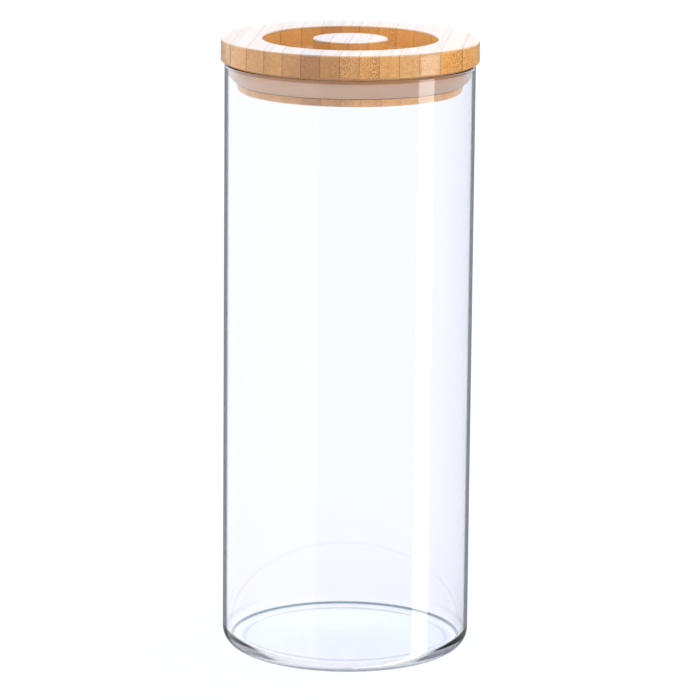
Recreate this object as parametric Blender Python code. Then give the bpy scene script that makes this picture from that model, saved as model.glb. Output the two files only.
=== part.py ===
"""Lidded glass canister: a straight borosilicate jar, a glued bamboo lid and its silicone seal.

The frame has its origin at the centre of the jar's foot, +Z up. Lengths are in metres.
The lid is a round board, turned from strips of bamboo that stand on edge and are glued face to face.
Each strip is its own object, as are the jar and the seal.
"""

import math

import bmesh
import bpy
from mathutils import Matrix, Vector

# Driving dimensions
OVERALL_HEIGHT = 0.249
JAR_RADIUS = 0.050
LID_RADIUS = 0.0515
LID_THICKNESS = 0.0210
DISC_THICKNESS = 0.009
PLUG_RADIUS = 0.045
STRIP_WIDTH = 0.0076

# Jar
WALL = 0.0013
FLOOR_THICKNESS = 0.0026
PUSH_UP = 0.0016
CORNER_RADIUS = 0.0073
RIM_GAP = 0.0008
FOOT_INNER_RADIUS = 0.038

# Lid
KNOB_RADIUS = 0.015
GRIP_RADIUS = 0.035
GRIP_DEPTH = 0.010
GRIP_FILLET = 0.003
GRIP_EDGE = 0.0006
DISC_TOP_EDGE = 0.0008
DISC_BOTTOM_EDGE = 0.0005
PLUG_EDGE = 0.0016
SEAL_SLOT_TOP = 0.0130
SEAL_SLOT_BOTTOM = 0.0179
SEAL_SLOT_DEPTH = 0.0012
STRIP_OFFSET = 0.0005
GRAIN_ANGLE = math.radians(-5.2)
GLUE_LINE = 0.0001

# Seal
SEAL_CLEARANCE = 0.00025
SEAL_BAND = 0.0010
LIP_THICKNESS = 0.0009
LIP_CREST_DEPTH = 0.0113
LIP_SHOULDER_DEPTH = 0.0136
LIP_BULGE = 0.0003

# Facets
TURNS = 64
BASE_STEPS = 6

# Heights above the foot
DISC_UNDERSIDE = OVERALL_HEIGHT - DISC_THICKNESS
PLUG_BOTTOM = OVERALL_HEIGHT - LID_THICKNESS
JAR_HEIGHT = DISC_UNDERSIDE - RIM_GAP
JAR_BORE = JAR_RADIUS - WALL


def material(name, colour, roughness, transmission=0.0):
    """A Principled material of one colour."""
    made = bpy.data.materials.new(name)
    made.use_nodes = True
    shader = made.node_tree.nodes["Principled BSDF"]
    shader.inputs["Base Color"].default_value = (*colour, 1.0)
    shader.inputs["Metallic"].default_value = 0.0
    shader.inputs["Roughness"].default_value = roughness
    shader.inputs["Transmission Weight"].default_value = transmission
    return made


def arc(centre, radius, start, end, steps):
    """Points (r, z) on an arc about centre, from start to end in degrees."""
    points = []
    for i in range(steps + 1):
        angle = math.radians(start + (end - start) * i / steps)
        points.append(
            (centre[0] + radius * math.cos(angle), centre[1] + radius * math.sin(angle))
        )
    return points


def pushed_up(radius):
    """How far the middle of the jar's base rises above its foot at this radius."""
    share = min(radius / FOOT_INNER_RADIUS, 1.0)
    return PUSH_UP * (0.5 + 0.5 * math.cos(math.pi * share))


def turned(outline, closed):
    """A bmesh of the outline, (r, z) points in order, spun once round the Z axis."""
    bm = bmesh.new()
    verts = [bm.verts.new((r, 0.0, z)) for r, z in outline]
    pairs = list(zip(verts, verts[1:]))
    if closed:
        pairs.append((verts[-1], verts[0]))
    edges = [bm.edges.new(pair) for pair in pairs]
    bmesh.ops.spin(
        bm,
        geom=verts + edges,
        cent=(0, 0, 0),
        axis=(0, 0, 1),
        angle=2 * math.pi,
        steps=TURNS,
        use_merge=True,
    )
    bmesh.ops.remove_doubles(bm, verts=bm.verts[:], dist=1e-6)
    bmesh.ops.recalc_face_normals(bm, faces=bm.faces[:])
    return bm


def add_object(name, bm, finish):
    """Links the bmesh as a smooth-shaded object with one material."""
    mesh = bpy.data.meshes.new(name)
    bm.to_mesh(mesh)
    bm.free()
    mesh.materials.append(finish)
    mesh.shade_smooth()
    mesh.set_sharp_from_angle(angle=math.radians(30))
    made = bpy.data.objects.new(name, mesh)
    bpy.context.scene.collection.objects.link(made)
    return made


def jar_outline():
    """From the underside's middle, up the wall, over the rim and back down to the floor's middle."""
    radii = [FOOT_INNER_RADIUS * i / BASE_STEPS for i in range(BASE_STEPS + 1)]
    underside = [(r, pushed_up(r)) for r in radii]
    foot_radius = JAR_RADIUS - CORNER_RADIUS
    outer_corner = arc((foot_radius, CORNER_RADIUS), CORNER_RADIUS, -90, 0, 5)
    rim = arc((JAR_RADIUS - WALL / 2, JAR_HEIGHT - WALL / 2), WALL / 2, 0, 180, 4)
    inner_radius = CORNER_RADIUS - WALL
    inner_centre = (foot_radius, FLOOR_THICKNESS + inner_radius)
    inner_corner = arc(inner_centre, inner_radius, 0, -90, 4)
    floor = [(r, FLOOR_THICKNESS + pushed_up(r)) for r in reversed(radii)]
    return underside + outer_corner + rim + inner_corner + floor


def lid_outline():
    """From the knob's middle, through the grip ring, over the disc's edge and down round the plug."""
    top = OVERALL_HEIGHT
    grip_floor = top - GRIP_DEPTH
    fillet_height = grip_floor + GRIP_FILLET
    knob_edge = arc((KNOB_RADIUS - GRIP_EDGE, top - GRIP_EDGE), GRIP_EDGE, 90, 0, 2)
    knob_fillet = arc((KNOB_RADIUS + GRIP_FILLET, fillet_height), GRIP_FILLET, 180, 270, 3)
    grip_fillet = arc((GRIP_RADIUS - GRIP_FILLET, fillet_height), GRIP_FILLET, 270, 360, 3)
    grip_edge = arc((GRIP_RADIUS + GRIP_EDGE, top - GRIP_EDGE), GRIP_EDGE, 180, 90, 2)
    disc_top = arc(
        (LID_RADIUS - DISC_TOP_EDGE, top - DISC_TOP_EDGE), DISC_TOP_EDGE, 90, 0, 2
    )
    disc_bottom = arc(
        (LID_RADIUS - DISC_BOTTOM_EDGE, DISC_UNDERSIDE + DISC_BOTTOM_EDGE),
        DISC_BOTTOM_EDGE,
        0,
        -90,
        1,
    )
    slot_radius = PLUG_RADIUS - SEAL_SLOT_DEPTH
    seal_slot = [
        (PLUG_RADIUS, DISC_UNDERSIDE),
        (PLUG_RADIUS, top - SEAL_SLOT_TOP),
        (slot_radius, top - SEAL_SLOT_TOP),
        (slot_radius, top - SEAL_SLOT_BOTTOM),
        (PLUG_RADIUS, top - SEAL_SLOT_BOTTOM),
    ]
    plug_edge = arc((PLUG_RADIUS - PLUG_EDGE, PLUG_BOTTOM + PLUG_EDGE), PLUG_EDGE, 0, -90, 3)
    return (
        [(0.0, top)]
        + knob_edge
        + knob_fillet
        + grip_fillet
        + grip_edge
        + disc_top
        + disc_bottom
        + seal_slot
        + plug_edge
        + [(0.0, PLUG_BOTTOM)]
    )


def seal_outline():
    """A band that sits in the plug's slot, with a lip that flares up and out to the jar's wall."""
    top = OVERALL_HEIGHT
    band_radius = PLUG_RADIUS - SEAL_SLOT_DEPTH + SEAL_CLEARANCE
    band_top = top - SEAL_SLOT_TOP - SEAL_CLEARANCE
    band_bottom = top - SEAL_SLOT_BOTTOM + SEAL_CLEARANCE
    lip_radius = JAR_BORE - SEAL_CLEARANCE
    crest = top - LIP_CREST_DEPTH
    shoulder = top - LIP_SHOULDER_DEPTH
    foot = (PLUG_RADIUS + SEAL_CLEARANCE, band_bottom)
    flare = []
    for share in (0.25, 0.5, 0.75):
        bulge = LIP_BULGE * math.sin(math.pi * share)
        flare.append(
            (
                foot[0] + (lip_radius - foot[0]) * share + bulge,
                foot[1] + (shoulder - foot[1]) * share - bulge,
            )
        )
    crest_round = arc(
        (lip_radius - LIP_THICKNESS / 2, crest - LIP_THICKNESS / 2),
        LIP_THICKNESS / 2,
        0,
        180,
        3,
    )
    pocket = [
        (lip_radius - LIP_THICKNESS, shoulder),
        (band_radius + SEAL_BAND + LIP_THICKNESS, band_bottom + 2 * SEAL_BAND),
        (band_radius + SEAL_BAND, band_bottom + 2 * SEAL_BAND),
    ]
    band = [
        (band_radius + SEAL_BAND, band_top),
        (band_radius, band_top),
        (band_radius, band_bottom),
    ]
    return [foot] + flare + [(lip_radius, shoulder)] + crest_round + pocket + band


def strip_edges():
    """Where the glue lines cross the lid, measured square to the grain, with the lid's two sides."""
    count = int(LID_RADIUS / STRIP_WIDTH)
    lines = [STRIP_OFFSET + STRIP_WIDTH * k for k in range(-count, count + 1)]
    inside = [u for u in lines if abs(u) < LID_RADIUS - GLUE_LINE]
    return [-LID_RADIUS - GLUE_LINE] + inside + [LID_RADIUS + GLUE_LINE]


def keep_one_side(bm, offset, facing):
    """Cuts the bmesh square to X, drops the side that facing points to, and caps the cut."""
    everything = bm.verts[:] + bm.edges[:] + bm.faces[:]
    cut = bmesh.ops.bisect_plane(
        bm,
        geom=everything,
        dist=1e-7,
        plane_co=Vector((offset, 0, 0)),
        plane_no=Vector((facing, 0, 0)),
        clear_outer=True,
    )
    rim = [edge for edge in cut["geom_cut"] if isinstance(edge, bmesh.types.BMEdge)]
    if rim:
        bmesh.ops.holes_fill(bm, edges=rim, sides=0)


def build_lid(finish):
    """The lid's strips, each sliced from the turned board between two glue lines."""
    edges = strip_edges()
    for number, (low, high) in enumerate(zip(edges, edges[1:]), start=1):
        bm = turned(lid_outline(), closed=False)
        keep_one_side(bm, low + GLUE_LINE / 2, -1)
        keep_one_side(bm, high - GLUE_LINE / 2, 1)
        bmesh.ops.recalc_face_normals(bm, faces=bm.faces[:])
        strip = add_object(f"bamboo_strip_{number:02d}", bm, finish)
        strip.matrix_world = Matrix.Rotation(GRAIN_ANGLE, 4, "Z")


def main():
    for old in list(bpy.data.objects):
        bpy.data.objects.remove(old)
    glass = material("borosilicate_glass", (0.97, 0.99, 1.0), 0.02, transmission=1.0)
    bamboo = material("bamboo", (0.62, 0.36, 0.16), 0.45)
    silicone = material("clear_silicone", (0.86, 0.82, 0.78), 0.4, transmission=0.4)
    add_object("glass_jar", turned(jar_outline(), closed=False), glass)
    add_object("silicone_seal", turned(seal_outline(), closed=True), silicone)
    build_lid(bamboo)


main()
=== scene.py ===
"""Looks for the lidded glass canister: clear jar, milky silicone seal, and a lid of glued bamboo strips.

Lengths are in metres, in the frame of the CAD model: the jar's foot is centred on the origin, +Z is up.
"""

import math

import bmesh
import bpy
from mathutils import Matrix, Vector


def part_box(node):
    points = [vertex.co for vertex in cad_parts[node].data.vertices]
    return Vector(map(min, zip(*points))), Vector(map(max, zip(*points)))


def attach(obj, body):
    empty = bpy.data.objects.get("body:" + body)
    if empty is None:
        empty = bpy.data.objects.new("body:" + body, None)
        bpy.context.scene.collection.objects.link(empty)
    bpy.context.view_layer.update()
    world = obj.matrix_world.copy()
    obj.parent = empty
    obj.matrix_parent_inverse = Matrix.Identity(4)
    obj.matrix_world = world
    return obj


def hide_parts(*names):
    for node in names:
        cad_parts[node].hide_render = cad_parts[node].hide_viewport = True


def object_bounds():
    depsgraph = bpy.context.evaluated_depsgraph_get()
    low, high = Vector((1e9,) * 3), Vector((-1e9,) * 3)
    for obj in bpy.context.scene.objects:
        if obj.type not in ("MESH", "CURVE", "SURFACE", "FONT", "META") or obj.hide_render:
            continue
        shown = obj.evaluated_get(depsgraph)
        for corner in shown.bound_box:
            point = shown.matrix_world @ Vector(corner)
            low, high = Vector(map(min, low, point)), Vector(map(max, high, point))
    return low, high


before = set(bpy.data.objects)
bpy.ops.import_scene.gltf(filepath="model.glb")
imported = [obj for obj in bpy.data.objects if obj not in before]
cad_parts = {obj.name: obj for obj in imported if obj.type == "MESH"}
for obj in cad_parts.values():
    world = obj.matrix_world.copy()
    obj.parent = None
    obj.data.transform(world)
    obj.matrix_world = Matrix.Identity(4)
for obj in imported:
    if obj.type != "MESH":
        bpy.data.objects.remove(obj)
cad_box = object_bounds()

# Read from the frame
JAR_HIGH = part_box("glass_jar")[1]
JAR_RADIUS = JAR_HIGH[0]
RIM = JAR_HIGH[2]
LID_TOP = cad_box[1][2]

# Jar
WALL = 0.0013
BORE = JAR_RADIUS - WALL
FLOOR_THICKNESS = 0.0026
PUSH_UP = 0.0016
FOOT_INNER_RADIUS = 0.038
CORNER_RADIUS = 0.0073

# Lid: radii, and depths below its top
LID_RADIUS = 0.0515
STRIP_WIDTH = 0.0076
STRIP_OFFSET = 0.0005
GRAIN_ANGLE = math.radians(-5.2)
GLUE_LINE = 0.00007
DISC_THICKNESS = 0.009
LID_THICKNESS = 0.0210
PLUG_RADIUS = 0.045
KNOB_RADIUS = 0.015
GRIP_RADIUS = 0.035
GRIP_DEPTH = 0.010
GRIP_FILLET = 0.003
GRIP_EDGE = 0.0006
DISC_TOP_EDGE = 0.0008
DISC_BOTTOM_EDGE = 0.0006
PLUG_EDGE = 0.0018
SLOT_TOP = 0.0130
SLOT_BOTTOM = 0.0179
SLOT_DEPTH = 0.0012

# Seal
SEAL_CLEARANCE = 0.00025
SEAL_BAND = 0.0010
LIP_THICKNESS = 0.0008
LIP_CREST_DEPTH = 0.0113
LIP_SHOULDER_DEPTH = 0.0136
LIP_BULGE = 0.0003

# Facets, and where a straight stretch gets points close to its ends
TURNS = 192
LONG_STRETCH = 0.002
HOLD = 0.0003

# Glass tints: face on and at a slant, with painted shade on the outline and in the base's dark rings
GLASS_CLEAR = (0.972, 0.968, 0.992, 1.0)
GLASS_SLANTED = (0.93, 0.925, 0.970, 1.0)
PAINTED_EDGE_SHADE = (0.04, 0.065, 0.08, 1.0)
PAINTED_RING_SHADE = (0.05, 0.12, 0.14, 1.0)

# Each painted shade ring's radius past the corner's centre, half width, lowest and highest z, and depth
# of painted shade
PAINTED_SHADE_RINGS = (
    (0.0034, 0.0008, 0.0024, 0.0060, 1.0),
    (-0.0015, 0.0012, 0.0022, 0.0040, 0.45),
)
GROUND_FOOT_ROUGHNESS = 0.45

SILICONE_DEEP = (0.93, 0.62, 0.43, 1.0)
SILICONE_BLOOM = (0.97, 0.69, 0.51, 1.0)

# Studio: strengths of the world's parts, and the azimuths (radians) between which each softbox fades
SKY_COLOUR = (0.98, 0.985, 1.0, 1.0)
SKY_STRENGTH = 0.82
LOW_SKY_STRENGTH = 0.35
CARD_COLOUR = (0.82, 0.96, 1.16, 1.0)
CARD_STRENGTH = 0.62
GROUND_STRENGTH = 0.34
WIDE_SOFTBOX = (-2.60, -2.50, -0.50, -0.46)
WIDE_SOFTBOX_STRENGTH = 0.95
STRIP_SOFTBOX = (1.13, 1.16, 1.44, 1.47)
STRIP_SOFTBOX_STRENGTH = 7.0
OVERHEAD_STRENGTH = 0.72
OVERHEAD_SPREAD = math.radians(70)
OVERHEAD_TILT = (math.radians(12), math.radians(15), 0)

# Camera
CAMERA_DISTANCE = 1.648
CAMERA_RISE = 0.2296
CAMERA_AIM_X = 0.0010
CAMERA_PITCH = math.radians(12.205)
CAMERA_ROLL = math.radians(0.55)
CAMERA_LENS = 214.8

# Bamboo tones, as linear colours
GOLDEN = (0.69, 0.345, 0.10)
HONEY = (0.61, 0.305, 0.10)
BROWN = (0.54, 0.265, 0.09)
DARK = (0.42, 0.19, 0.065)
TAN = (0.67, 0.335, 0.115)
SMOOTH = (0.77, 0.385, 0.115)
PALE = (0.75, 0.40, 0.140)
ORANGE = (0.88, 0.40, 0.065)
# Painted light: a paler tone that brightens the lid's shaded groove and plug
PAINTED_LIGHT_TONE = (0.98, 0.58, 0.20, 1.0)
# Partly pale sanded wood, partly painted glare on the top face
SANDED_TOP_AND_GLARE = (0.84, 0.66, 0.42, 1.0)

# Fibre bundles in a metre across the grain
FIBRE_CELLS = 1200.0

# One (tone, fibre strength, fibre side) for each strip from left to right
STRIPS = (
    (GOLDEN, 0.25, 1),
    (GOLDEN, 0.25, -1),
    (HONEY, 0.30, 1),
    (HONEY, 0.35, -1),
    (BROWN, 0.35, 1),
    (DARK, 0.45, -1),
    (BROWN, 0.55, 1),
    (TAN, 0.90, -1),
    (SMOOTH, 1.00, 1),
    (SMOOTH, 0.30, -1),
    (PALE, 0.30, 1),
    (PALE, 0.40, -1),
    (ORANGE, 0.90, 1),
    (ORANGE, 0.45, -1),
)


class Shader:
    """Adds nodes to one node tree and wires them together."""

    def __init__(self, tree):
        self.tree = tree

    def add(self, kind, inputs=None, **settings):
        made = self.tree.nodes.new(kind)
        for key, value in settings.items():
            setattr(made, key, value)
        for key, value in (inputs or {}).items():
            if isinstance(value, bpy.types.NodeSocket):
                self.tree.links.new(value, made.inputs[key])
            else:
                made.inputs[key].default_value = value
        return made

    def math(self, operation, *values, clamp=False):
        inputs = dict(enumerate(values))
        return self.add("ShaderNodeMath", inputs, operation=operation, use_clamp=clamp).outputs[0]

    def remap(self, value, low, high, to_low=0.0, to_high=1.0):
        """Smoothly takes low..high to to_low..to_high, and holds the ends."""
        inputs = {0: value, 1: low, 2: high, 3: to_low, 4: to_high}
        kind = "ShaderNodeMapRange"
        return self.add(kind, inputs, interpolation_type="SMOOTHSTEP", clamp=True).outputs[0]

    def mix(self, share, first, second, blend="MIX"):
        inputs = {0: share, 6: first, 7: second}
        kind = "ShaderNodeMix"
        return self.add(kind, inputs, data_type="RGBA", blend_type=blend).outputs[2]

    def noise(self, vector, scale, detail=3.0, roughness=0.5):
        inputs = {"Vector": vector, "Scale": scale, "Detail": detail, "Roughness": roughness}
        return self.add("ShaderNodeTexNoise", inputs).outputs[0]

    def stretched(self, vector, scale, location=(0.0, 0.0, 0.0)):
        inputs = {"Vector": vector, "Scale": scale, "Location": location}
        return self.add("ShaderNodeMapping", inputs).outputs[0]


def new_material(name):
    """An empty Principled material: the material, its shader builder and its Principled node."""
    made = bpy.data.materials.new(name)
    made.use_nodes = True
    return made, Shader(made.node_tree), made.node_tree.nodes["Principled BSDF"]


def object_coordinates(shader):
    return shader.add("ShaderNodeTexCoord").outputs["Object"]


def radius_and_height(shader, place):
    """How far a point is from the Z axis, and its height."""
    parts = shader.add("ShaderNodeSeparateXYZ", {0: place}).outputs
    flat = shader.add("ShaderNodeCombineXYZ", {0: parts[0], 1: parts[1]}).outputs[0]
    radius = shader.add("ShaderNodeVectorMath", {0: flat}, operation="LENGTH").outputs["Value"]
    return radius, parts[2]


def tint_and_painted_shade(shader, radius, height):
    """Clear face on, with painted shade where the wall is seen edge on and painted shade as fine dark
    rings in the base.
    """
    outside = shader.math("GREATER_THAN", radius, JAR_RADIUS - WALL / 2)
    below_rim = shader.math("LESS_THAN", height, RIM - WALL)
    wall = shader.math("MULTIPLY", outside, below_rim)
    # Painted shade: the wall turns dark where it is seen edge on, standing in for its dark outline
    facing = shader.add("ShaderNodeLayerWeight", {"Blend": 0.5}).outputs["Facing"]
    edge = shader.math("MULTIPLY", shader.remap(facing, 0.73, 0.79), wall)
    tint = shader.mix(shader.remap(facing, 0.15, 0.70), GLASS_CLEAR, GLASS_SLANTED)
    tint = shader.mix(edge, tint, PAINTED_EDGE_SHADE)
    # Painted shade: thin dark rings in the base, standing in for its contact shadow and the dark lines
    # its corner refracts
    for offset, reach, lowest, highest, depth in PAINTED_SHADE_RINGS:
        middle = JAR_RADIUS - CORNER_RADIUS + offset
        away = shader.math("ABSOLUTE", shader.math("SUBTRACT", radius, middle))
        ring = shader.remap(away, reach * 0.4, reach, depth, 0.0)
        above = shader.math("GREATER_THAN", height, lowest)
        below = shader.math("LESS_THAN", height, highest)
        ring = shader.math("MULTIPLY", ring, shader.math("MULTIPLY", above, below))
        tint = shader.mix(ring, tint, PAINTED_RING_SHADE)
    return tint


def glass_material():
    """Clear borosilicate: faintly wavy and smudged, with a ground foot that lets trapped light out."""
    made, shader, surface = new_material("clear_glass")
    place = object_coordinates(shader)
    radius, height = radius_and_height(shader, place)
    shader.tree.links.new(tint_and_painted_shade(shader, radius, height), surface.inputs["Base Color"])
    waves = shader.noise(shader.stretched(place, (22.0, 22.0, 9.0)), 1.0, 1.0)
    bump = shader.add("ShaderNodeBump", {"Height": waves, "Strength": 0.05, "Distance": 0.001})
    shader.tree.links.new(bump.outputs[0], surface.inputs["Normal"])
    smudges = shader.noise(place, 35.0, 4.0, 0.6)
    roughness = shader.remap(smudges, 0.45, 0.75, 0.0, 0.025)
    underside = shader.math("LESS_THAN", height, FLOOR_THICKNESS - 0.0006)
    within_foot = shader.math("LESS_THAN", radius, JAR_RADIUS - CORNER_RADIUS + 0.0015)
    foot = shader.math("MULTIPLY", underside, within_foot)
    ground = shader.math("MULTIPLY", foot, GROUND_FOOT_ROUGHNESS)
    roughness = shader.math("ADD", roughness, ground)
    shader.tree.links.new(roughness, surface.inputs["Roughness"])
    surface.inputs["Transmission Weight"].default_value = 1.0
    surface.inputs["IOR"].default_value = 1.47
    return made


def silicone_material():
    """Milky silicone: translucent, satin, with a fine uneven bloom."""
    made, shader, surface = new_material("milky_silicone")
    place = object_coordinates(shader)
    bloom = shader.noise(place, 260.0, 4.0, 0.6)
    colour = shader.mix(bloom, SILICONE_DEEP, SILICONE_BLOOM)
    shader.tree.links.new(colour, surface.inputs["Base Color"])
    roughness = shader.remap(bloom, 0.3, 0.7, 0.32, 0.46)
    shader.tree.links.new(roughness, surface.inputs["Roughness"])
    skin = shader.noise(place, 2200.0, 2.0)
    bump = shader.add("ShaderNodeBump", {"Height": skin, "Strength": 0.25, "Distance": 0.00004})
    shader.tree.links.new(bump.outputs[0], surface.inputs["Normal"])
    surface.inputs["Transmission Weight"].default_value = 0.50
    surface.inputs["IOR"].default_value = 1.41
    surface.inputs["Subsurface Weight"].default_value = 0.25
    surface.inputs["Subsurface Scale"].default_value = 0.002
    return made


def painted_light_share(shader, place):
    """How much painted light, as a paler wood colour, brightens the shaded finger groove and the plug.
    """
    radius, height = radius_and_height(shader, place)
    within = shader.math("LESS_THAN", radius, GRIP_RADIUS + GRIP_EDGE / 2)
    sunk = shader.remap(height, LID_TOP - 0.0012, LID_TOP - 0.0004, 0.30, 0.0)
    above = shader.math("GREATER_THAN", height, LID_TOP - GRIP_DEPTH - 0.001)
    grip = shader.math("MULTIPLY", shader.math("MULTIPLY", within, above), sunk)
    plug = shader.math("LESS_THAN", height, LID_TOP - DISC_THICKNESS - 0.0002)
    neck_low = LID_TOP - SLOT_TOP
    neck = shader.remap(height, neck_low - 0.0002, neck_low, 0.12, 0.90)
    return shader.math("ADD", grip, shader.math("MULTIPLY", plug, neck))


def bamboo_material(number, low, tone, strength, side):
    """One strip's bamboo: fibre bundles along it, denser to its skin side, painted light in the groove
    and on the plug, and a top paled partly as sanded wood, partly as painted glare.
    """
    made, shader, surface = new_material(f"bamboo_{number:02d}")
    turn = {"Vector": object_coordinates(shader), "Rotation": (0.0, 0.0, -GRAIN_ANGLE)}
    grain = shader.add("ShaderNodeMapping", turn).outputs[0]
    parts = shader.add("ShaderNodeSeparateXYZ", {0: grain}).outputs
    across, height = parts[0], parts[2]
    share = shader.math("DIVIDE", shader.math("SUBTRACT", across, low), STRIP_WIDTH, clamp=True)
    skin = share if side > 0 else shader.math("SUBTRACT", 1.0, share)
    shift = (number * 3.71, number * 1.37, number * 2.93)

    wander = shader.noise(shader.stretched(grain, (60.0, 9.0, 60.0), shift), 1.0, 2.0)
    wobble = shader.math("MULTIPLY", shader.math("SUBTRACT", wander, 0.5), 1.2)
    finer = shader.stretched(grain, (FIBRE_CELLS, 1.0, FIBRE_CELLS), shift)
    section = shader.add("ShaderNodeSeparateXYZ", {0: finer}).outputs
    upright = shader.add("ShaderNodeCombineXYZ", {0: section[0], 1: section[2]}).outputs[0]
    bent = shader.add("ShaderNodeVectorMath", {0: upright, 1: wobble}).outputs[0]
    layout = {"Vector": bent, "Scale": 1.0, "Randomness": 0.75}
    cells = shader.add("ShaderNodeTexVoronoi", layout, voronoi_dimensions="2D")
    reach = shader.remap(skin, 0.0, 1.0, 0.24, 0.43)
    inner = shader.math("MULTIPLY", reach, 0.45)
    bundle = shader.remap(cells.outputs["Distance"], inner, reach, 1.0, 0.0)

    streaks = shader.noise(shader.stretched(grain, (700.0, 5.0, 700.0), shift), 1.0, 4.0, 0.6)
    clouds = shader.noise(shader.stretched(grain, (120.0, 14.0, 90.0), shift), 1.0, 3.0)
    light = (*tone, 1.0)
    shade = (tone[0] * 0.70, tone[1] * 0.62, tone[2] * 0.55, 1.0)
    fibre = (tone[0] * 0.42, tone[1] * 0.33, tone[2] * 0.28, 1.0)
    body = shader.mix(shader.remap(streaks, 0.35, 0.75, 0.0, 0.6), light, shade)
    body = shader.mix(shader.remap(clouds, 0.4, 0.8, 0.0, 0.45), body, shade)
    along = shader.remap(height, LID_TOP - 0.0006, LID_TOP - 0.0002, strength, strength * 0.25)
    colour = shader.mix(shader.math("MULTIPLY", bundle, along), body, fibre)
    rim = shader.math("MINIMUM", share, shader.math("SUBTRACT", 1.0, share))
    colour = shader.mix(shader.remap(rim, 0.0, 0.035, 0.55, 0.0), colour, fibre)
    # Painted light: paler wood in the finger groove and on the plug, where they lie in shade
    colour = shader.mix(painted_light_share(shader, grain), colour, PAINTED_LIGHT_TONE)
    # Top face paled: partly sanded wood, partly painted glare
    sanded_and_glare = shader.remap(height, LID_TOP - 0.0006, LID_TOP - 0.0002, 0.0, 0.30)
    colour = shader.mix(sanded_and_glare, colour, SANDED_TOP_AND_GLARE)
    shader.tree.links.new(colour, surface.inputs["Base Color"])

    roughness = shader.remap(streaks, 0.3, 0.7, 0.36, 0.50)
    shader.tree.links.new(roughness, surface.inputs["Roughness"])
    relief = shader.math("ADD", shader.math("MULTIPLY", bundle, -0.6), streaks)
    bump = shader.add("ShaderNodeBump", {"Height": relief, "Strength": 0.5, "Distance": 0.00006})
    shader.tree.links.new(bump.outputs[0], surface.inputs["Normal"])
    surface.inputs["Coat Weight"].default_value = 0.60
    surface.inputs["Coat Roughness"].default_value = 0.20
    return made


def floor_material():
    """Plain pale paper."""
    made, shader, surface = new_material("pale_paper")
    fibres = shader.noise(object_coordinates(shader), 90.0, 5.0)
    colour = shader.mix(fibres, (0.90, 0.90, 0.90, 1.0), (0.93, 0.93, 0.93, 1.0))
    shader.tree.links.new(colour, surface.inputs["Base Color"])
    surface.inputs["Roughness"].default_value = 0.9
    return made


def arc(centre, radius, start, end, steps):
    """Points (r, z) on an arc about centre, from start to end in degrees."""
    points = []
    for i in range(steps + 1):
        angle = math.radians(start + (end - start) * i / steps)
        points.append((centre[0] + radius * math.cos(angle), centre[1] + radius * math.sin(angle)))
    return points


def held(outline):
    """Adds a point close to both ends of each long stretch, so that smooth shading keeps it straight."""
    points = [outline[0]]
    for start, end in zip(outline, outline[1:]):
        length = math.dist(start, end)
        if length > LONG_STRETCH:
            for share in (HOLD / length, 1 - HOLD / length):
                points.append(tuple(a + (b - a) * share for a, b in zip(start, end)))
        points.append(end)
    return points


def turned(outline, closed):
    """A bmesh of the outline, (r, z) points in order, spun once round the Z axis."""
    bm = bmesh.new()
    verts = [bm.verts.new((r, 0.0, z)) for r, z in held(outline)]
    pairs = list(zip(verts, verts[1:]))
    if closed:
        pairs.append((verts[-1], verts[0]))
    edges = [bm.edges.new(pair) for pair in pairs]
    bmesh.ops.spin(
        bm,
        geom=verts + edges,
        cent=(0, 0, 0),
        axis=(0, 0, 1),
        angle=2 * math.pi,
        steps=TURNS,
        use_merge=True,
    )
    bmesh.ops.remove_doubles(bm, verts=bm.verts[:], dist=1e-6)
    bmesh.ops.recalc_face_normals(bm, faces=bm.faces[:])
    return bm


def add_piece(name, bm, finish, sharp=35.0):
    """Links the bmesh as a smooth-shaded object with one material."""
    mesh = bpy.data.meshes.new(name)
    bm.to_mesh(mesh)
    bm.free()
    mesh.materials.append(finish)
    mesh.shade_smooth()
    mesh.set_sharp_from_angle(angle=math.radians(sharp))
    made = bpy.data.objects.new(name, mesh)
    bpy.context.scene.collection.objects.link(made)
    return made


def pushed_up(radius):
    """How far the middle of the jar's base rises above its foot at this radius."""
    share = min(radius / FOOT_INNER_RADIUS, 1.0)
    return PUSH_UP * (0.5 + 0.5 * math.cos(math.pi * share))


def jar_outline():
    """From the underside's middle, up the wall, over the rim and back down to the floor's middle."""
    steps = 24
    radii = [FOOT_INNER_RADIUS * i / steps for i in range(steps + 1)]
    underside = [(r, pushed_up(r)) for r in radii]
    foot_radius = JAR_RADIUS - CORNER_RADIUS
    outer_corner = arc((foot_radius, CORNER_RADIUS), CORNER_RADIUS, -90, 0, 20)
    rim = arc((JAR_RADIUS - WALL / 2, RIM - WALL / 2), WALL / 2, 0, 180, 12)
    inner_radius = CORNER_RADIUS - WALL
    inner_centre = (foot_radius, FLOOR_THICKNESS + inner_radius)
    inner_corner = arc(inner_centre, inner_radius, 0, -90, 16)
    floor = [(r, FLOOR_THICKNESS + pushed_up(r)) for r in reversed(radii)]
    return underside + outer_corner + rim + inner_corner + floor


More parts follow.
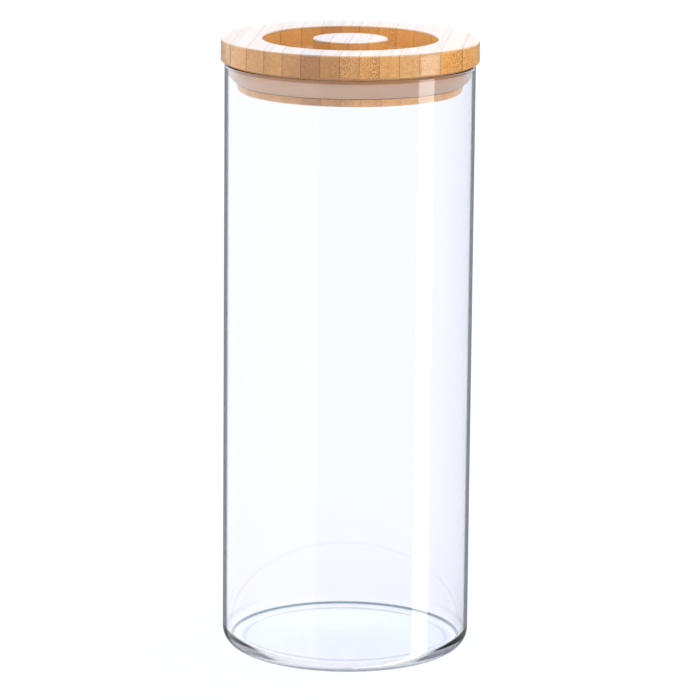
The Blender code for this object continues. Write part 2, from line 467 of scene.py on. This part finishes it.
def lid_outline():
    """From the knob's middle, through the grip ring, over the disc's edge and down round the plug."""
    grip_floor = LID_TOP - GRIP_DEPTH
    fillet_height = grip_floor + GRIP_FILLET
    disc_underside = LID_TOP - DISC_THICKNESS
    plug_bottom = LID_TOP - LID_THICKNESS
    slot_radius = PLUG_RADIUS - SLOT_DEPTH
    knob_edge = arc((KNOB_RADIUS - GRIP_EDGE, LID_TOP - GRIP_EDGE), GRIP_EDGE, 90, 0, 5)
    knob_fillet = arc((KNOB_RADIUS + GRIP_FILLET, fillet_height), GRIP_FILLET, 180, 270, 7)
    grip_fillet = arc((GRIP_RADIUS - GRIP_FILLET, fillet_height), GRIP_FILLET, 270, 360, 7)
    grip_edge = arc((GRIP_RADIUS + GRIP_EDGE, LID_TOP - GRIP_EDGE), GRIP_EDGE, 180, 90, 5)
    disc_top = arc((LID_RADIUS - DISC_TOP_EDGE, LID_TOP - DISC_TOP_EDGE), DISC_TOP_EDGE, 90, 0, 6)
    low_centre = (LID_RADIUS - DISC_BOTTOM_EDGE, disc_underside + DISC_BOTTOM_EDGE)
    disc_bottom = arc(low_centre, DISC_BOTTOM_EDGE, 0, -90, 4)
    slot = [
        (PLUG_RADIUS, disc_underside),
        (PLUG_RADIUS, LID_TOP - SLOT_TOP),
        (slot_radius, LID_TOP - SLOT_TOP),
        (slot_radius, LID_TOP - SLOT_BOTTOM),
        (PLUG_RADIUS, LID_TOP - SLOT_BOTTOM),
    ]
    plug_edge = arc((PLUG_RADIUS - PLUG_EDGE, plug_bottom + PLUG_EDGE), PLUG_EDGE, 0, -90, 8)
    top = [(0.0, LID_TOP)] + knob_edge + knob_fillet + grip_fillet + grip_edge
    return top + disc_top + disc_bottom + slot + plug_edge + [(0.0, plug_bottom)]


def seal_outline():
    """A band that sits in the plug's slot, with a lip that flares up and out to the jar's wall."""
    band_radius = PLUG_RADIUS - SLOT_DEPTH + SEAL_CLEARANCE
    band_top = LID_TOP - SLOT_TOP - SEAL_CLEARANCE
    band_bottom = LID_TOP - SLOT_BOTTOM + SEAL_CLEARANCE
    lip_radius = BORE - SEAL_CLEARANCE
    crest = LID_TOP - LIP_CREST_DEPTH
    shoulder = LID_TOP - LIP_SHOULDER_DEPTH
    foot = (PLUG_RADIUS + SEAL_CLEARANCE, band_bottom)
    flare = []
    for i in range(1, 8):
        share = i / 8
        bulge = LIP_BULGE * math.sin(math.pi * share)
        radius = foot[0] + (lip_radius - foot[0]) * share + bulge
        height = foot[1] + (shoulder - foot[1]) * share - bulge
        flare.append((radius, height))
    crest_centre = (lip_radius - LIP_THICKNESS / 2, crest - LIP_THICKNESS / 2)
    crest_round = arc(crest_centre, LIP_THICKNESS / 2, 0, 180, 8)
    pocket = [
        (lip_radius - LIP_THICKNESS, shoulder),
        (band_radius + SEAL_BAND + LIP_THICKNESS, band_bottom + 2 * SEAL_BAND),
        (band_radius + SEAL_BAND, band_bottom + 2 * SEAL_BAND),
    ]
    band = [
        (band_radius + SEAL_BAND, band_top),
        (band_radius, band_top),
        (band_radius, band_bottom),
    ]
    return [foot] + flare + [(lip_radius, shoulder)] + crest_round + pocket + band


def strip_edges():
    """Where the glue lines cross the lid, measured square to the grain, with the lid's two sides."""
    count = int(LID_RADIUS / STRIP_WIDTH)
    lines = [STRIP_OFFSET + STRIP_WIDTH * k for k in range(-count, count + 1)]
    inside = [u for u in lines if abs(u) < LID_RADIUS - GLUE_LINE]
    return [-LID_RADIUS - GLUE_LINE] + inside + [LID_RADIUS + GLUE_LINE]


def keep_one_side(bm, offset, facing):
    """Cuts the bmesh square to X, drops the side that facing points to, and caps the cut."""
    everything = bm.verts[:] + bm.edges[:] + bm.faces[:]
    cut = bmesh.ops.bisect_plane(
        bm,
        geom=everything,
        dist=1e-7,
        plane_co=Vector((offset, 0, 0)),
        plane_no=Vector((facing, 0, 0)),
        clear_outer=True,
    )
    rim = [edge for edge in cut["geom_cut"] if isinstance(edge, bmesh.types.BMEdge)]
    if rim:
        bmesh.ops.holes_fill(bm, edges=rim, sides=0)


def build_jar():
    """The glass. It doesn't darken the floor: it has no shadow, and diffuse light passes it by."""
    jar = add_piece("jar_shell", turned(jar_outline(), closed=False), glass_material())
    jar.visible_shadow = False
    jar.visible_diffuse = False
    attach(jar, "jar")
    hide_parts("glass_jar")


def build_seal():
    seal = add_piece("seal_skirt", turned(seal_outline(), closed=True), silicone_material())
    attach(seal, "lid")
    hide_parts("silicone_seal")


def build_lid():
    """Each strip is sliced from the turned board between two glue lines and turned to the grain."""
    edges = strip_edges()
    board = turned(lid_outline(), closed=False)
    turn = Matrix.Rotation(GRAIN_ANGLE, 4, "Z")
    for number, (low, high) in enumerate(zip(edges, edges[1:]), start=1):
        tone, strength, side = STRIPS[number - 1]
        bm = board.copy()
        keep_one_side(bm, low + GLUE_LINE / 2, -1)
        keep_one_side(bm, high - GLUE_LINE / 2, 1)
        bmesh.ops.recalc_face_normals(bm, faces=bm.faces[:])
        bmesh.ops.transform(bm, matrix=turn, verts=bm.verts[:])
        finish = bamboo_material(number, max(low, high - STRIP_WIDTH), tone, strength, side)
        strip = add_piece(f"lid_strip_{number:02d}", bm, finish)
        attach(strip, "lid")
        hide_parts(f"bamboo_strip_{number:02d}")
    board.free()


def build_floor():
    """A wide sheet. Reflections skip it, so that they show the studio instead."""
    bm = bmesh.new()
    bmesh.ops.create_grid(bm, x_segments=4, y_segments=4, size=12.0)
    floor = add_piece("floor", bm, floor_material())
    floor.location.z = -0.0002
    floor.visible_glossy = False


def softbox(shader, azimuth, fades):
    """1 between the two inner azimuths of fades, and 0 outside the outer two."""
    rising, risen, falling, fallen = fades
    rise = shader.remap(azimuth, rising, risen)
    fall = shader.remap(azimuth, falling, fallen, 1.0, 0.0)
    return shader.math("MULTIPLY", rise, fall)


def build_world():
    """A white dome with a cool card low behind, and below the horizon a wide and a strip softbox."""
    world = bpy.data.worlds.new("studio")
    bpy.context.scene.world = world
    world.use_nodes = True
    shader = Shader(world.node_tree)
    direction = shader.add("ShaderNodeTexCoord").outputs["Generated"]
    parts = shader.add("ShaderNodeSeparateXYZ", {0: direction}).outputs
    azimuth = shader.math("ARCTAN2", parts[0], shader.math("MULTIPLY", parts[1], -1.0))
    above = shader.remap(parts[2], -0.02, 0.02)
    low_band = shader.remap(parts[2], 0.40, 0.62, 1.0, 0.0)
    behind = shader.math("MULTIPLY", shader.remap(parts[1], 0.25, 0.65), above)
    card = shader.math("MULTIPLY", behind, CARD_STRENGTH)
    low_sky = shader.math("MULTIPLY", shader.math("ADD", LOW_SKY_STRENGTH, card), low_band)
    sky = shader.math("ADD", SKY_STRENGTH, low_sky)
    wide = shader.math("MULTIPLY", softbox(shader, azimuth, WIDE_SOFTBOX), WIDE_SOFTBOX_STRENGTH)
    strip = shader.math("MULTIPLY", softbox(shader, azimuth, STRIP_SOFTBOX), STRIP_SOFTBOX_STRENGTH)
    ground = shader.math("ADD", GROUND_STRENGTH, shader.math("ADD", wide, strip))
    strength = shader.add("ShaderNodeMix", {0: above, 2: ground, 3: sky}).outputs[0]
    background = world.node_tree.nodes["Background"]
    colour = shader.mix(behind, SKY_COLOUR, CARD_COLOUR)
    shader.tree.links.new(colour, background.inputs["Color"])
    shader.tree.links.new(strength, background.inputs["Strength"])


def build_key_light():
    """A large overhead source that also lights the floor evenly to its far end."""
    light = bpy.data.lights.new("overhead", "SUN")
    light.energy = OVERHEAD_STRENGTH
    light.angle = OVERHEAD_SPREAD
    light.color = (1.0, 0.985, 0.965)
    lamp = bpy.data.objects.new("overhead", light)
    lamp.rotation_euler = OVERHEAD_TILT
    bpy.context.scene.collection.objects.link(lamp)


def build_camera():
    data = bpy.data.cameras.new("camera")
    data.sensor_width = 36.0
    data.lens = CAMERA_LENS
    data.clip_end = 60.0
    camera = bpy.data.objects.new("camera", data)
    place = Matrix.Translation((CAMERA_AIM_X, -CAMERA_DISTANCE, LID_TOP + CAMERA_RISE))
    pitch = Matrix.Rotation(math.pi / 2 - CAMERA_PITCH, 4, "X")
    roll = Matrix.Rotation(CAMERA_ROLL, 4, "Z")
    camera.matrix_world = place @ pitch @ roll
    bpy.context.scene.collection.objects.link(camera)
    bpy.context.scene.camera = camera


build_camera()
build_world()
build_key_light()
build_floor()
build_jar()
build_seal()
build_lid()
bpy.context.scene.view_settings.view_transform = "Standard"
